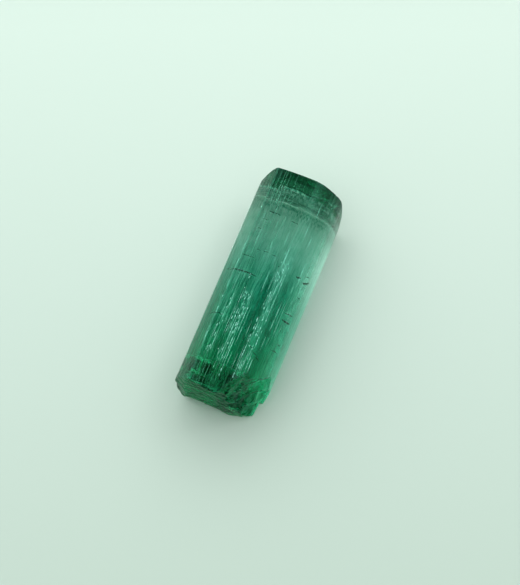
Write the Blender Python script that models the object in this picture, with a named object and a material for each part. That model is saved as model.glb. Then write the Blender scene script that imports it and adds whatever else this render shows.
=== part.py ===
"""Tourmaline crystal: one striated prism, broken off at both ends, lying on a prism face.

Run it with  blender --background --python part.py  or from Blender's text editor.
Metres, +Z up. +Y runs along the prism from its near end to its far end. The origin is on the
surface that the crystal rests on, under its middle.
"""

import math
import random

import bmesh
import bpy
from mathutils import Vector, noise

MM = 0.001

# Driving dimensions
LENGTH = 20.0 * MM  # along the prism, end to end
WIDTH = 7.35 * MM  # across it
HEIGHT = 5.8 * MM  # from the face it rests on to its crown

# The prism's faces, anticlockwise as seen from the near end. Each one has the corner where it
# starts, as shares of WIDTH and HEIGHT, how far its middle bulges, as a share of HEIGHT, and how
# many striations cross it.
PRISM_FACES = (
    ("resting", (-0.350, 0.000), 0.000, 0),
    ("lower_right", (0.375, 0.000), 0.012, 3),
    ("right_side", (0.495, 0.190), 0.012, 4),
    ("right_slope", (0.452, 0.585), 0.032, 6),
    ("narrow", (0.232, 0.932), 0.004, 3),
    ("top", (0.130, 0.980), 0.022, 11),
    ("left_strip", (-0.315, 0.960), 0.012, 4),
    ("left_flank", (-0.457, 0.715), 0.006, 2),
    ("left_side", (-0.490, 0.430), 0.010, 3),
    ("lower_left", (-0.460, 0.150), 0.008, 2),
)
STRIATION_DEPTH = 0.016 * MM
STRIATION_SEED = 7

# Near break: shelly ribs run round a point low on its left. Each one slopes back, away from that
# point, and then steps out again. The side corners are chipped back.
NEAR_LEAN = 0.01  # metres behind the rim for each metre down
RIB_CENTRE = (-1.4 * MM, -0.9 * MM)
RIB_PITCH = 1.35 * MM
RIB_DEPTH = 0.42 * MM
RIB_SLOPE = 0.85  # the share of the pitch that slopes back
RIB_FOOT = (0.2 * MM, 1.8 * MM)  # the height the ribs fade in from, and where they are whole
RIB_FOOT_SHARE = 0.3  # the share of their depth below that
NEAR_LEFT_FROM = -2.6 * MM
NEAR_LEFT_CHIP = 0.60  # metres further back for each metre past NEAR_LEFT_FROM
NEAR_RIGHT_FROM = 0.3 * MM
NEAR_RIGHT_CHIP = 0.22
NEAR_RIGHT_TOP = 3.8 * MM  # the height where that chip runs out

# Scar: an oblique, slightly hollow break across the right-hand corner of the near end.
SCAR_POINT = (0.60 * MM, -9.90 * MM, 5.67 * MM)  # on it, at the near rim
SCAR_NORMAL = (0.80, -0.55, 0.24)
SCAR_CENTRE = (2.5 * MM, -2.8 * MM)  # in its own plane, where it is deepest
SCAR_HOLLOW = 0.14 * MM
SCAR_HOLLOW_SPAN = 3.4 * MM
SCAR_RIPPLE = 0.012 * MM
SCAR_RIPPLE_PITCH = 0.85 * MM
SCAR_RIB_CENTRE = (1.0 * MM, -6.5 * MM)  # in its own plane, low down
SCAR_RIB_PITCH = 1.4 * MM
SCAR_RIB_DEPTH = 0.50 * MM
SCAR_RIB_PROUD = 0.35  # the share of that depth that stands out of the plane
SCAR_RIPPLE_WANDER = 4  # how far the hackle shifts the ripples, for each metre of its depth
SCAR_RIB_WANDER = 2

# Flake: a thin sliver lost from under the near end, which ran in along the resting face.
FLAKE_REACH = -6.5 * MM  # y of its inner edge
FLAKE_RISE = 1.20 * MM  # how far its roof lies above the resting face at the near end
FLAKE_SLOPE = 0.62  # of the roof where it meets the resting face
FLAKE_RIDGE = 0.34  # how much less steep the roof is along a ridge in its middle
FLAKE_RIDGE_X = -0.80 * MM
FLAKE_RIDGE_WIDTH = 0.40 * MM
FLAKE_LEFT = -3.4 * MM
FLAKE_RIGHT = 1.1 * MM
FLAKE_SIDE_SLOPE = 1.1
FLAKE_INNER_HACKLE = 0.5

# Far break: nearly square to the prism at its sides, and undercut between them. A narrow ledge
# with a step in it divides the undercut, and the break is rougher to the right of it.
FAR_LEAN = 0.020  # metres behind the rim for each metre down
FAR_UPPER_UNDERCUT = 0.36
FAR_LOWER_UNDERCUT = 0.11
LEDGE_HEIGHT = 3.30 * MM
LEDGE_DEPTH = 0.13 * MM
LEDGE_WAVE = 0.25 * MM
LEDGE_WAVE_SPAN = 1.1 * MM  # along x, for one radian of the wave
LEDGE_CREST_X = -0.8 * MM
LEDGE_STEP = 0.62 * MM
LEDGE_STEP_X = (-1.85 * MM, -1.45 * MM)
RUBBLE_FROM = (0.65 * MM, 0.85 * MM)  # x where the rougher part starts, and where it is whole
RUBBLE_UNDERCUT = 0.30
RUBBLE_LEDGE_LOSS = 0.7  # the share of the ledge that is missing there
RUBBLE_HACKLE = 1.5  # added there, for each millimetre of hackle elsewhere
UNDERCUT_INSET = (0.25 * MM, 1.30 * MM)  # inside the side faces, where it starts and is whole
UNDERCUT_FOOT = (2.3 * MM, 0.5 * MM)  # z below which the sides are undercut as well
FAR_LEFT_FROM = -2.3 * MM
FAR_LEFT_CHIP = 0.85 / MM  # metres further back for each square metre past FAR_LEFT_FROM
FAR_RIGHT_FROM = 3.2 * MM
FAR_RIGHT_CHIP = 3.9 / MM

HACKLE = 0.08 * MM  # roughness of the breaks
HACKLE_PITCH = 0.9 * MM
FILLET = 0.25 * MM  # where two surfaces of one break meet

CUTTER_CELL = 0.22 * MM
CUTTER_DEPTH = 6.0 * MM
CUTTER_WIDTH = 9.0 * MM


def clear_scene():
    for obj in list(bpy.data.objects):
        bpy.data.objects.remove(obj, do_unlink=True)


def new_collection(name):
    collection = bpy.data.collections.new(name)
    bpy.context.scene.collection.children.link(collection)
    return collection


def tourmaline_material():
    """Clear blue-green crystal: plain transmission, a tourmaline's refractive index and a body
    that takes out red first."""
    material = bpy.data.materials.new("tourmaline")
    material.use_nodes = True
    nodes = material.node_tree.nodes
    shader = nodes["Principled BSDF"]
    shader.inputs["Base Color"].default_value = (0.30, 0.70, 0.56, 1.0)
    shader.inputs["Roughness"].default_value = 0.06
    shader.inputs["Metallic"].default_value = 0.0
    shader.inputs["IOR"].default_value = 1.635
    shader.inputs["Transmission Weight"].default_value = 1.0
    absorption = nodes.new("ShaderNodeVolumeAbsorption")
    absorption.inputs["Color"].default_value = (0.10, 0.62, 0.42, 1.0)
    absorption.inputs["Density"].default_value = 100.0
    material.node_tree.links.new(absorption.outputs[0], nodes["Material Output"].inputs["Volume"])
    return material


def striated_face(start, end, bulge, count, rng):
    """Points (x, z) from start up to end, not with it: saw-toothed striations on a bulging face."""
    start, end = Vector(start), Vector(end)
    along = end - start
    outward = Vector((along.y, -along.x)).normalized()
    points = [start]
    if count == 0:
        return points
    widths = [rng.uniform(0.6, 1.4) for _ in range(count)]
    share = 0.0
    for width in widths:
        pitch = width / sum(widths)
        ridge = share + pitch * rng.uniform(0.55, 0.8)
        share += pitch
        rise = STRIATION_DEPTH * rng.uniform(0.5, 1.0)
        for at, offset in ((ridge, rise), (share, 0.0)):
            crown = 4 * bulge * at * (1 - at)
            points.append(start + along * at + outward * (crown + offset))
    return points[:-1]


def section_outline():
    """The prism's section as points (x, z) in metres, scaled to measure WIDTH by HEIGHT."""
    rng = random.Random(STRIATION_SEED)
    corners = [(x * WIDTH, z * HEIGHT) for _, (x, z), _, _ in PRISM_FACES]
    points = []
    for index, (_, _, bulge, count) in enumerate(PRISM_FACES):
        following = corners[(index + 1) % len(corners)]
        points += striated_face(corners[index], following, bulge * HEIGHT, count, rng)
    low_x, high_x = min(p.x for p in points), max(p.x for p in points)
    high_z = max(p.y for p in points)
    middle_x = (low_x + high_x) / 2
    return [
        ((p.x - middle_x) * WIDTH / (high_x - low_x), p.y * HEIGHT / high_z) for p in points
    ]


def past(value, limit):
    """How far value lies beyond limit, or 0."""
    return max(value - limit, 0.0)


def ramp(value, start, end):
    """0 at start, 1 at end, eased between them."""
    share = min(max((value - start) / (end - start), 0.0), 1.0)
    return share * share * (3 - 2 * share)


def side_inset(x, z):
    """How far a point of the section lies inside the lines of its right and left sides."""
    insets = []
    for name in ("right_side", "right_slope", "left_strip", "left_flank"):
        index = [face[0] for face in PRISM_FACES].index(name)
        (start_x, start_z), (end_x, end_z) = PRISM_FACES[index][1], PRISM_FACES[index + 1][1]
        start = Vector((start_x * WIDTH, start_z * HEIGHT))
        along = Vector((end_x * WIDTH, end_z * HEIGHT)) - start
        outward = Vector((along.y, -along.x)).normalized()
        insets.append(outward.dot(start - Vector((x, z))))
    return min(insets)


def soft_min(a, b):
    """The lower of a and b, with the crease between them rounded off over FILLET."""
    share = max(FILLET - abs(a - b), 0.0) / FILLET
    return min(a, b) - FILLET * share * share / 4


def hackle(u, v, seed):
    """The roughness of a break, from 0 up, at a place (u, v) on it. Each seed is another break."""
    place = Vector((u / HACKLE_PITCH, v / HACKLE_PITCH, 10.0 * seed))
    return HACKLE * (0.6 + 0.6 * noise.fractal(place, 1.0, 2.0, 3))


def rib(distance, pitch):
    """How far back a shelly break lies, as a share of its ribs' depth. It slopes back over most
    of the pitch, and then steps out again."""
    place = distance / pitch % 1.0
    return min(place / RIB_SLOPE, (1 - place) / (1 - RIB_SLOPE))


def near_break(x, z):
    depth = NEAR_LEAN * past(HEIGHT, z) + hackle(x, z, 1) * ramp(z, HEIGHT, 0.8 * HEIGHT)
    share = rib(math.hypot(x - RIB_CENTRE[0], z - RIB_CENTRE[1]), RIB_PITCH)
    depth += RIB_DEPTH * (RIB_FOOT_SHARE + (share - RIB_FOOT_SHARE) * ramp(z, *RIB_FOOT))
    depth += NEAR_LEFT_CHIP * past(-x, -NEAR_LEFT_FROM)
    depth += NEAR_RIGHT_CHIP * past(x, NEAR_RIGHT_FROM) * ramp(z, NEAR_RIGHT_TOP, 0)
    return Vector((x, depth - LENGTH / 2, z))


def far_break(x, z):
    ledge = LEDGE_HEIGHT + LEDGE_WAVE * math.cos((x - LEDGE_CREST_X) / LEDGE_WAVE_SPAN)
    ledge -= LEDGE_STEP * (1 - ramp(x, *LEDGE_STEP_X))
    rubble = ramp(x, *RUBBLE_FROM)
    undercut = FAR_UPPER_UNDERCUT + (RUBBLE_UNDERCUT - FAR_UPPER_UNDERCUT) * rubble
    upper = undercut * min(past(HEIGHT, z), HEIGHT - ledge)
    lower = FAR_LOWER_UNDERCUT * past(ledge, z)
    step = LEDGE_DEPTH * (1 - RUBBLE_LEDGE_LOSS * rubble) if z < ledge else 0.0
    between = ramp(side_inset(x, z), *UNDERCUT_INSET)
    whole = between + (1 - between) * ramp(z, *UNDERCUT_FOOT)
    depth = FAR_LEAN * past(HEIGHT, z) + whole * (upper + lower + step)
    depth += FAR_LEFT_CHIP * past(-x, -FAR_LEFT_FROM) ** 2
    depth += FAR_RIGHT_CHIP * past(x, FAR_RIGHT_FROM) ** 2
    roughness = (1 + RUBBLE_HACKLE * rubble * between) * hackle(x, z, 2)
    depth += roughness * ramp(z, HEIGHT, 0.8 * HEIGHT)
    return Vector((x, LENGTH / 2 - depth, z))


def scar(u, v):
    """A point of the scar, from a place in its own plane: u runs towards the far end, v up."""
    normal = Vector(SCAR_NORMAL).normalized()
    towards_far = normal.cross(Vector((0.0, 0.0, -1.0))).normalized()
    up = normal.cross(towards_far)
    away = math.hypot(u - SCAR_CENTRE[0], v - SCAR_CENTRE[1])
    hollow = SCAR_HOLLOW * math.exp(-((away / SCAR_HOLLOW_SPAN) ** 2))
    rough = hackle(u, v, 3)
    ripple = SCAR_RIPPLE * math.cos(math.tau * (away + SCAR_RIPPLE_WANDER * rough) / SCAR_RIPPLE_PITCH)
    ring = math.hypot(u - SCAR_RIB_CENTRE[0], v - SCAR_RIB_CENTRE[1])
    ring += SCAR_RIB_WANDER * rough
    shell = SCAR_RIB_DEPTH * (rib(ring, SCAR_RIB_PITCH) - SCAR_RIB_PROUD)
    inward = hollow + ripple + shell + rough
    return Vector(SCAR_POINT) + towards_far * u + up * v - normal * inward


def flake(x, y):
    """A point of the flake's roof. Where the roof is below the resting face, nothing was lost."""
    ridge = math.exp(-(((x - FLAKE_RIDGE_X) / FLAKE_RIDGE_WIDTH) ** 2))
    slope = FLAKE_SLOPE - FLAKE_RIDGE * ridge
    inner = slope * (FLAKE_REACH - y) + FLAKE_INNER_HACKLE * hackle(x, y, 4)
    sides = FLAKE_SIDE_SLOPE * min(x - FLAKE_LEFT, FLAKE_RIGHT - x)
    roof = soft_min(soft_min(inner, FLAKE_RISE + hackle(x, y, 5)), sides)
    return Vector((x, y, max(roof, -MM / 2)))


def striated_prism(collection):
    """The section extruded past both ends, as a closed mesh object with its length along Y."""
    curve = bpy.data.curves.new("section", "CURVE")
    curve.dimensions = "2D"
    curve.fill_mode = "BOTH"
    curve.extrude = LENGTH / 2 + CUTTER_DEPTH / 3
    outline = section_outline()
    spline = curve.splines.new("POLY")
    spline.points.add(len(outline) - 1)
    for point, (x, z) in zip(spline.points, outline):
        point.co = (x, z, 0.0, 1.0)
    spline.use_cyclic_u = True
    section = bpy.data.objects.new("section", curve)
    section.rotation_euler = (math.pi / 2, 0.0, 0.0)
    collection.objects.link(section)
    bpy.context.view_layer.update()

    evaluated = section.evaluated_get(bpy.context.evaluated_depsgraph_get())
    mesh = bpy.data.meshes.new_from_object(evaluated)
    mesh.transform(section.matrix_world)
    mesh.name = "tourmaline_crystal"
    bpy.data.objects.remove(section)
    weld = bmesh.new()
    weld.from_mesh(mesh)
    bmesh.ops.remove_doubles(weld, verts=weld.verts, dist=0.001 * MM)
    bmesh.ops.recalc_face_normals(weld, faces=weld.faces)
    weld.to_mesh(mesh)
    weld.free()
    prism = bpy.data.objects.new("tourmaline_crystal", mesh)
    collection.objects.link(prism)
    return prism


def break_cutter(name, surface, span_u, span_v, outward, collection):
    """A block that takes away all that lies outward of a surface. Its inner side is the surface,
    on a grid over the two spans."""
    columns = round((span_u[1] - span_u[0]) / CUTTER_CELL)
    rows = round((span_v[1] - span_v[0]) / CUTTER_CELL)
    block = bmesh.new()
    bmesh.ops.create_grid(block, x_segments=columns, y_segments=rows, size=0.5)
    for vertex in block.verts:
        u = span_u[0] + (vertex.co.x + 0.5) * (span_u[1] - span_u[0])
        v = span_v[0] + (vertex.co.y + 0.5) * (span_v[1] - span_v[0])
        vertex.co = surface(u, v)
    grown = bmesh.ops.extrude_face_region(block, geom=block.faces[:])
    for item in grown["geom"]:
        if isinstance(item, bmesh.types.BMVert):
            item.co += Vector(outward).normalized() * CUTTER_DEPTH
    bmesh.ops.recalc_face_normals(block, faces=block.faces)
    mesh = bpy.data.meshes.new(name)
    block.to_mesh(mesh)
    block.free()
    cutter = bpy.data.objects.new(name, mesh)
    cutter.hide_render = True
    cutter.display_type = "WIRE"
    collection.objects.link(cutter)
    return cutter


def cut_away(piece, cutter):
    modifier = piece.modifiers.new(cutter.name, "BOOLEAN")
    modifier.operation = "DIFFERENCE"
    modifier.solver = "MANIFOLD"
    modifier.object = cutter


def main():
    clear_scene()
    parts = new_collection("tourmaline_crystal")
    cutters = new_collection("cutters")
    crystal = striated_prism(parts)
    crystal.data.materials.append(tourmaline_material())
    across = (-CUTTER_WIDTH / 2, CUTTER_WIDTH / 2)
    upright = (-MM, HEIGHT + MM)
    flake_length = (-LENGTH / 2 - MM, FLAKE_REACH + MM)
    scar_length = (-2 * MM, 6 * MM)
    scar_height = (-8 * MM, 2 * MM)
    toward_near, toward_far = (0.0, -1.0, 0.0), (0.0, 1.0, 0.0)
    down = (0.0, 0.0, -1.0)
    for cutter in (
        break_cutter("near_break", near_break, across, upright, toward_near, cutters),
        break_cutter("far_break", far_break, across, upright, toward_far, cutters),
        break_cutter("scar", scar, scar_length, scar_height, SCAR_NORMAL, cutters),
        break_cutter("flake", flake, across, flake_length, down, cutters),
    ):
        cut_away(crystal, cutter)


main()
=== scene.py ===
"""The tourmaline crystal's looks: one finely striated clear prism on a pale sheet, in soft light.

Lengths are in metres, apart from the tables that say millimetres. +Y runs from the near, scarred
end to the far end, and +Z is up.
"""

import math
import random

import bmesh
import bpy
import numpy as np
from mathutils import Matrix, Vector, noise

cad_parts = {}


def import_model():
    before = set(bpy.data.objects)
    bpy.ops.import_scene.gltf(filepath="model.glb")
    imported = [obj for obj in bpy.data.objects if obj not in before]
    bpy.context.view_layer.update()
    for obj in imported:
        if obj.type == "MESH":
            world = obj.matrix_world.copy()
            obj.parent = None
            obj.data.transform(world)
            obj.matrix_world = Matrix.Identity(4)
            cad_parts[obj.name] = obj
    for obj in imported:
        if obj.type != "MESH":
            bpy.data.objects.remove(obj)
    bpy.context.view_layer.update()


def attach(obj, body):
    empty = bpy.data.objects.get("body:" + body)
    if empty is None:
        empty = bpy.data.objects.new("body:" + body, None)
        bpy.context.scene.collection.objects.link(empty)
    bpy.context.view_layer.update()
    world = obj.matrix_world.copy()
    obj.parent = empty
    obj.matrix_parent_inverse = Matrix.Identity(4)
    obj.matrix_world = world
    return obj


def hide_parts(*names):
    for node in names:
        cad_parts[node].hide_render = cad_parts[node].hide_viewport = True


MM = 0.001
NODE = "tourmaline_crystal"

# The form down to FILLET is the solid's own.
LENGTH = 20.0 * MM  # along the prism, end to end
WIDTH = 7.35 * MM  # across it
HEIGHT = 5.8 * MM  # from the face it rests on to its crown

# The prism's faces, anticlockwise as seen from the near end. Each one has the corner where it
# starts, as shares of WIDTH and HEIGHT, how far its middle bulges, as a share of HEIGHT, and how
# many striations cross it.
PRISM_FACES = (
    ("resting", (-0.350, 0.000), 0.000, 0),
    ("lower_right", (0.375, 0.000), 0.012, 3),
    ("right_side", (0.495, 0.190), 0.012, 4),
    ("right_slope", (0.452, 0.585), 0.032, 6),
    ("narrow", (0.232, 0.932), 0.004, 3),
    ("top", (0.130, 0.980), 0.022, 11),
    ("left_strip", (-0.315, 0.960), 0.012, 4),
    ("left_flank", (-0.457, 0.715), 0.006, 2),
    ("left_side", (-0.490, 0.430), 0.010, 3),
    ("lower_left", (-0.460, 0.150), 0.008, 2),
)
STRIATION_DEPTH = 0.016 * MM
STRIATION_SEED = 7

# Near break: shelly ribs run round a point low on its left. Each one slopes back, away from that
# point, and then steps out again. The side corners are chipped back.
NEAR_LEAN = 0.01  # metres behind the rim for each metre down
RIB_CENTRE = (-1.4 * MM, -0.9 * MM)
RIB_PITCH = 1.35 * MM
RIB_DEPTH = 0.42 * MM
RIB_SLOPE = 0.85  # the share of the pitch that slopes back
RIB_FOOT = (0.2 * MM, 1.8 * MM)  # the height the ribs fade in from, and where they are whole
RIB_FOOT_SHARE = 0.3  # the share of their depth below that
NEAR_LEFT_FROM = -2.6 * MM
NEAR_LEFT_CHIP = 0.60  # metres further back for each metre past NEAR_LEFT_FROM
NEAR_RIGHT_FROM = 0.3 * MM
NEAR_RIGHT_CHIP = 0.22
NEAR_RIGHT_TOP = 3.8 * MM  # the height where that chip runs out

# Scar: an oblique, slightly hollow break across the right-hand corner of the near end.
SCAR_POINT = (0.60 * MM, -9.90 * MM, 5.67 * MM)  # on it, at the near rim
SCAR_NORMAL = (0.80, -0.55, 0.24)
SCAR_CENTRE = (2.5 * MM, -2.8 * MM)  # in its own plane, where it is deepest
SCAR_HOLLOW = 0.14 * MM
SCAR_HOLLOW_SPAN = 3.4 * MM
SCAR_RIPPLE = 0.012 * MM
SCAR_RIPPLE_PITCH = 0.85 * MM
SCAR_RIB_CENTRE = (1.0 * MM, -6.5 * MM)  # in its own plane, low down
SCAR_RIB_PITCH = 1.4 * MM
SCAR_RIB_DEPTH = 0.50 * MM
SCAR_RIB_PROUD = 0.35  # the share of that depth that stands out of the plane
SCAR_RIPPLE_WANDER = 4  # how far the hackle shifts the ripples, for each metre of its depth
SCAR_RIB_WANDER = 2

# Flake: a thin sliver lost from under the near end, which ran in along the resting face.
FLAKE_REACH = -6.5 * MM  # y of its inner edge
FLAKE_RISE = 1.20 * MM  # how far its roof lies above the resting face at the near end
FLAKE_SLOPE = 0.62  # of the roof where it meets the resting face
FLAKE_RIDGE = 0.34  # how much less steep the roof is along a ridge in its middle
FLAKE_RIDGE_X = -0.80 * MM
FLAKE_RIDGE_WIDTH = 0.40 * MM
FLAKE_LEFT = -3.4 * MM
FLAKE_RIGHT = 1.1 * MM
FLAKE_SIDE_SLOPE = 1.1
FLAKE_INNER_HACKLE = 0.5

# Far break: nearly square to the prism at its sides, and undercut between them. A narrow ledge
# with a step in it divides the undercut, and the break is rougher to the right of it.
FAR_LEAN = 0.020  # metres behind the rim for each metre down
FAR_UPPER_UNDERCUT = 0.36
FAR_LOWER_UNDERCUT = 0.11
LEDGE_HEIGHT = 3.30 * MM
LEDGE_DEPTH = 0.13 * MM
LEDGE_WAVE = 0.25 * MM
LEDGE_WAVE_SPAN = 1.1 * MM  # along x, for one radian of the wave
LEDGE_CREST_X = -0.8 * MM
LEDGE_STEP = 0.62 * MM
LEDGE_STEP_X = (-1.85 * MM, -1.45 * MM)
RUBBLE_FROM = (0.65 * MM, 0.85 * MM)  # x where the rougher part starts, and where it is whole
RUBBLE_UNDERCUT = 0.30
RUBBLE_LEDGE_LOSS = 0.7  # the share of the ledge that is missing there
RUBBLE_HACKLE = 1.5  # added there, for each millimetre of hackle elsewhere
UNDERCUT_INSET = (0.25 * MM, 1.30 * MM)  # inside the side faces, where it starts and is whole
UNDERCUT_FOOT = (2.3 * MM, 0.5 * MM)  # z below which the sides are undercut as well
FAR_LEFT_FROM = -2.3 * MM
FAR_LEFT_CHIP = 0.85 / MM  # metres further back for each square metre past FAR_LEFT_FROM
FAR_RIGHT_FROM = 3.2 * MM
FAR_RIGHT_CHIP = 3.9 / MM

HACKLE = 0.08 * MM  # roughness of the breaks
HACKLE_PITCH = 0.9 * MM
FILLET = 0.25 * MM  # where two surfaces of one break meet

# The meshes that the form is cut from
COLUMN_PITCH = 0.040 * MM  # round the section
RESTING_COLUMN_PITCH = 6 * COLUMN_PITCH
RING_PITCH = 0.19 * MM  # along the prism
CUTTER_CELL = 0.065 * MM
CUTTER_DEPTH = 6.0 * MM
CUTTER_WIDTH = 9.0 * MM
SCAR_CUTTER_LENGTH = (-2 * MM, 6 * MM)
SCAR_CUTTER_HEIGHT = (-8 * MM, 2 * MM)
OVERRUN = MM  # how far they stand past the crystal
SHARP_ANGLE = math.radians(12)

# What only the looks have: finer striations, except on the resting face, and finer hackle
RESTING_BELOW = 0.01 * MM  # z
STRIATED_ABOVE = 0.05 * MM
FINE_STRIATION = 0.007 * MM
FINE_STRIATION_PITCH = 0.10 * MM
FINE_STRIATION_LENGTH = 5.0 * MM
FINE_STRIATION_SEED = 3.0
FINE_HACKLE = 0.020 * MM
FINE_HACKLE_PITCH = 0.22 * MM

# Threads: flat closed slivers in the upper faces, pale as painted glints. A kind has the ranges
# of its half length and of its half width.
THREAD_SEED = 11
SHORT_THREADS = ((0.06 * MM, 0.18 * MM), (0.012 * MM, 0.034 * MM))
LONG_THREADS = ((0.35 * MM, 1.30 * MM), (0.005 * MM, 0.013 * MM))
THREAD_STRAY = 0.008 * MM
THREAD_RISE = 0.010 * MM
THREAD_REACH = (0.46 * WIDTH, 0.44 * LENGTH)  # how far out they may lie, across and along
# In millimetres: the group's centre and half width, its columns, its near and far ends. Then how
# many short and long threads each column has.
THREAD_GROUPS = (
    (0.97, 0.02, 1, -8.2, 3.2, 27, 6),
    (1.30, 0.24, 4, -7.4, 2.8, 13, 4),
    (1.64, 0.02, 1, -6.8, 3.0, 15, 5),
    (-0.36, 0.15, 3, -7.3, -0.9, 13, 3),
    (-0.10, 0.02, 1, -8.6, -0.8, 9, 4),
    (-0.70, 0.14, 2, -8.4, -0.8, 8, 4),
    (-0.98, 0.02, 1, -7.0, 0.5, 10, 4),
    (-1.72, 0.22, 3, -7.2, -2.0, 6, 2),
    (0.00, 2.20, 18, -7.4, 7.8, 0, 4),
    (2.60, 0.50, 6, -6.0, 6.5, 0, 4),
    (-2.38, 0.02, 1, -8.5, 7.0, 6, 12),
)
# Pale colours of the painted glints
GLINT_THREAD_COLOURS = ((0.29, 0.86, 0.68), (0.48, 1.00, 0.90))

# Fractures: dark cracks across the prism, just under its upper faces
FRACTURE_SEED = 5
FRACTURE_INSET = 0.03 * MM  # below the upper faces
FRACTURE_STEP = 0.09  # millimetres
FRACTURE_LEAST_STEPS = 4
FRACTURE_BODY = (0.55, 1.0)  # how much of its full thickness and depth a crack has at a step
FRACTURE_SHAKE = 0.025  # millimetres
# In millimetres: left and right ends, place along the prism, depth, thickness, bow, skew
FRACTURES = (
    (-1.67, -0.57, 6.12, 0.30, 0.10, 0.03, 0.0),
    (0.32, 1.01, 5.94, 0.18, 0.06, 0.00, 0.0),
    (-1.32, -0.98, 2.66, 0.20, 0.06, 0.02, 0.0),
    (-0.80, -0.30, 2.72, 0.20, 0.07, 0.02, 0.0),
    (-0.10, 0.46, 2.66, 0.20, 0.06, 0.00, 0.0),
    (-2.37, -1.05, 1.87, 0.20, 0.06, 0.04, 0.0),
    (0.80, 0.94, 1.93, 0.20, 0.10, 0.00, 0.0),
    (-2.77, -0.43, 0.42, 0.30, 0.14, 0.10, 0.0),
    (-3.05, -2.71, 0.56, 0.20, 0.09, -0.05, 0.2),
    (2.36, 2.80, 2.03, 0.30, 0.18, 0.00, 0.20),
    (2.95, 3.42, 2.14, 0.35, 0.24, -0.06, 0.50),
    (3.05, 3.34, 2.62, 0.20, 0.10, 0.00, 0.20),
    (3.02, 3.24, 0.65, 0.20, 0.09, 0.00, 0.10),
    (2.60, 3.30, -1.07, 0.25, 0.11, 0.00, 0.30),
    (2.62, 3.30, -1.74, 0.30, 0.19, 0.00, 0.15),
    (-2.95, -1.75, -3.62, 0.20, 0.07, 0.10, 0.15),
    (0.28, 0.40, -3.99, 0.20, 0.12, 0.00, 0.0),
    (1.53, 2.35, -5.75, 0.25, 0.08, 0.05, -0.5),
    (1.10, 1.60, -5.25, 0.20, 0.07, 0.03, -0.2),
    (3.06, 3.28, -3.73, 0.25, 0.09, 0.00, 0.1),
    (-1.95, -1.30, 5.36, 0.15, 0.05, 0.00, 0.05),
    (-2.05, -1.55, 4.50, 0.15, 0.05, -0.03, 0.0),
    (2.75, 3.28, -4.45, 0.25, 0.09, 0.04, 0.2),
)
FRACTURE_COLOURS = ((0.002, 0.045, 0.020), (0.007, 0.076, 0.040))

# Films: dark sheets above the flake, painted shade, as rows of strips side by side, in millimetres
SHADE_FILMS = (
    ((-1.52, -7.68, 1.6), 0.36, 0.80, 6),
    ((0.42, -7.70, 1.6), 0.42, 0.72, 7),
    ((-2.24, -7.60, 1.6), 0.20, 0.66, 2),
)  # (centre, half length across, half length along, number of strips)
FILM_WIDTHS = (0.75, 1.3)  # shares of an even strip's width
FILM_REACHES = (0.75, 1.0)  # shares of the row's half length along
FILM_STRAY_ALONG = 0.12  # a share of the same
FILM_STRAY_UP = 0.25  # millimetres
FILM_HALF_THICKNESS = 0.04  # millimetres
FILM_RIM_POINTS = 12
FILM_RIM_WIDTHS = (0.8, 1.0)  # how uneven the rim is, as shares of a strip's half width
FILM_RIM_REACHES = (0.9, 1.0)  # and of its half length
FILM_SQUARENESS = 0.7  # 0 is an ellipse, 1 a rectangle
# Dark colours of the painted shade above the flake
FILM_SHADE_COLOURS = ((0.002, 0.070, 0.030), (0.006, 0.112, 0.052))

# Threads, fractures and films are each mottled between their two colours, the darker one first.
# The threads' pale colours are painted glints, the films' dark ones painted shade.
# This and every other size of a pattern is its size across and its size along the prism.
INCLUSION_MOTTLE_SIZE = (0.07 * MM, 0.21 * MM)
INCLUSION_MOTTLE_STEPS = (0.40, 0.60)
INCLUSION_ROUGHNESS = 0.1  # added to the mottle, which averages 0.5

# Optics
IOR = 1.635
ABSORPTION_PER_M = (58.0, 2.0, 22.0)  # red, green, blue
MOST_ABSORBED = 0.9  # of the strongest colour, in the absorption's own colour
REFLECTION_TINT = (0.25, 0.80, 0.60)
ROUGHNESS = (0.03, 0.25)  # of the grown faces and of the dullest break
UNDERSIDE_FROM = (0.15 * MM, 0.02 * MM)  # z where the rougher underside starts and is whole
UNDERSIDE_ROUGHNESS = 0.35

# The dull attribute marks each surface: grown faces, near break, far break, scar, flake.
DULLNESS = (0.0, 1.0, 0.25, 0.5, 0.05)
BREAK_PAINTED_SHADE = (
    (0.00, (1.00, 1.00, 1.00)),
    (0.03, (0.50, 0.75, 0.65)),
    (0.08, (0.30, 0.62, 0.52)),
    (0.40, (0.38, 0.92, 0.68)),
    (0.80, (0.07, 0.38, 0.21)),
)  # (dullness from which, base colour), painted shade that darkens the breaks

# Colours along the prism: the crystal's own zoning, with painted shade at the near and far ends.
# A colour tints each crossing of the surface by its square root.
ZONES_AND_END_SHADE = (
    (0.00, (0.04, 0.40, 0.20)),
    (0.03, (0.05, 0.44, 0.22)),
    (0.05, (0.06, 0.46, 0.25)),
    (0.122, (0.06, 0.46, 0.25)),
    (0.14, (0.20, 0.98, 0.70)),
    (0.20, (0.21, 0.98, 0.71)),
    (0.35, (0.33, 0.99, 0.83)),
    (0.52, (0.46, 0.99, 0.89)),
    (0.70, (0.84, 1.00, 1.00)),
    (0.875, (1.00, 1.00, 1.00)),
    (0.895, (0.95, 1.00, 0.97)),
    (0.91, (0.88, 1.00, 0.94)),
    (0.955, (0.76, 0.96, 0.86)),
    (0.968, (0.050, 0.30, 0.18)),
    (1.00, (0.038, 0.25, 0.15)),
)  # (share of the length from the near end, base colour)
ZONE_WANDER = 0.05  # of the length
ZONE_WANDER_SIZE = (0.32 * MM, 0.32 * MM)
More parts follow.
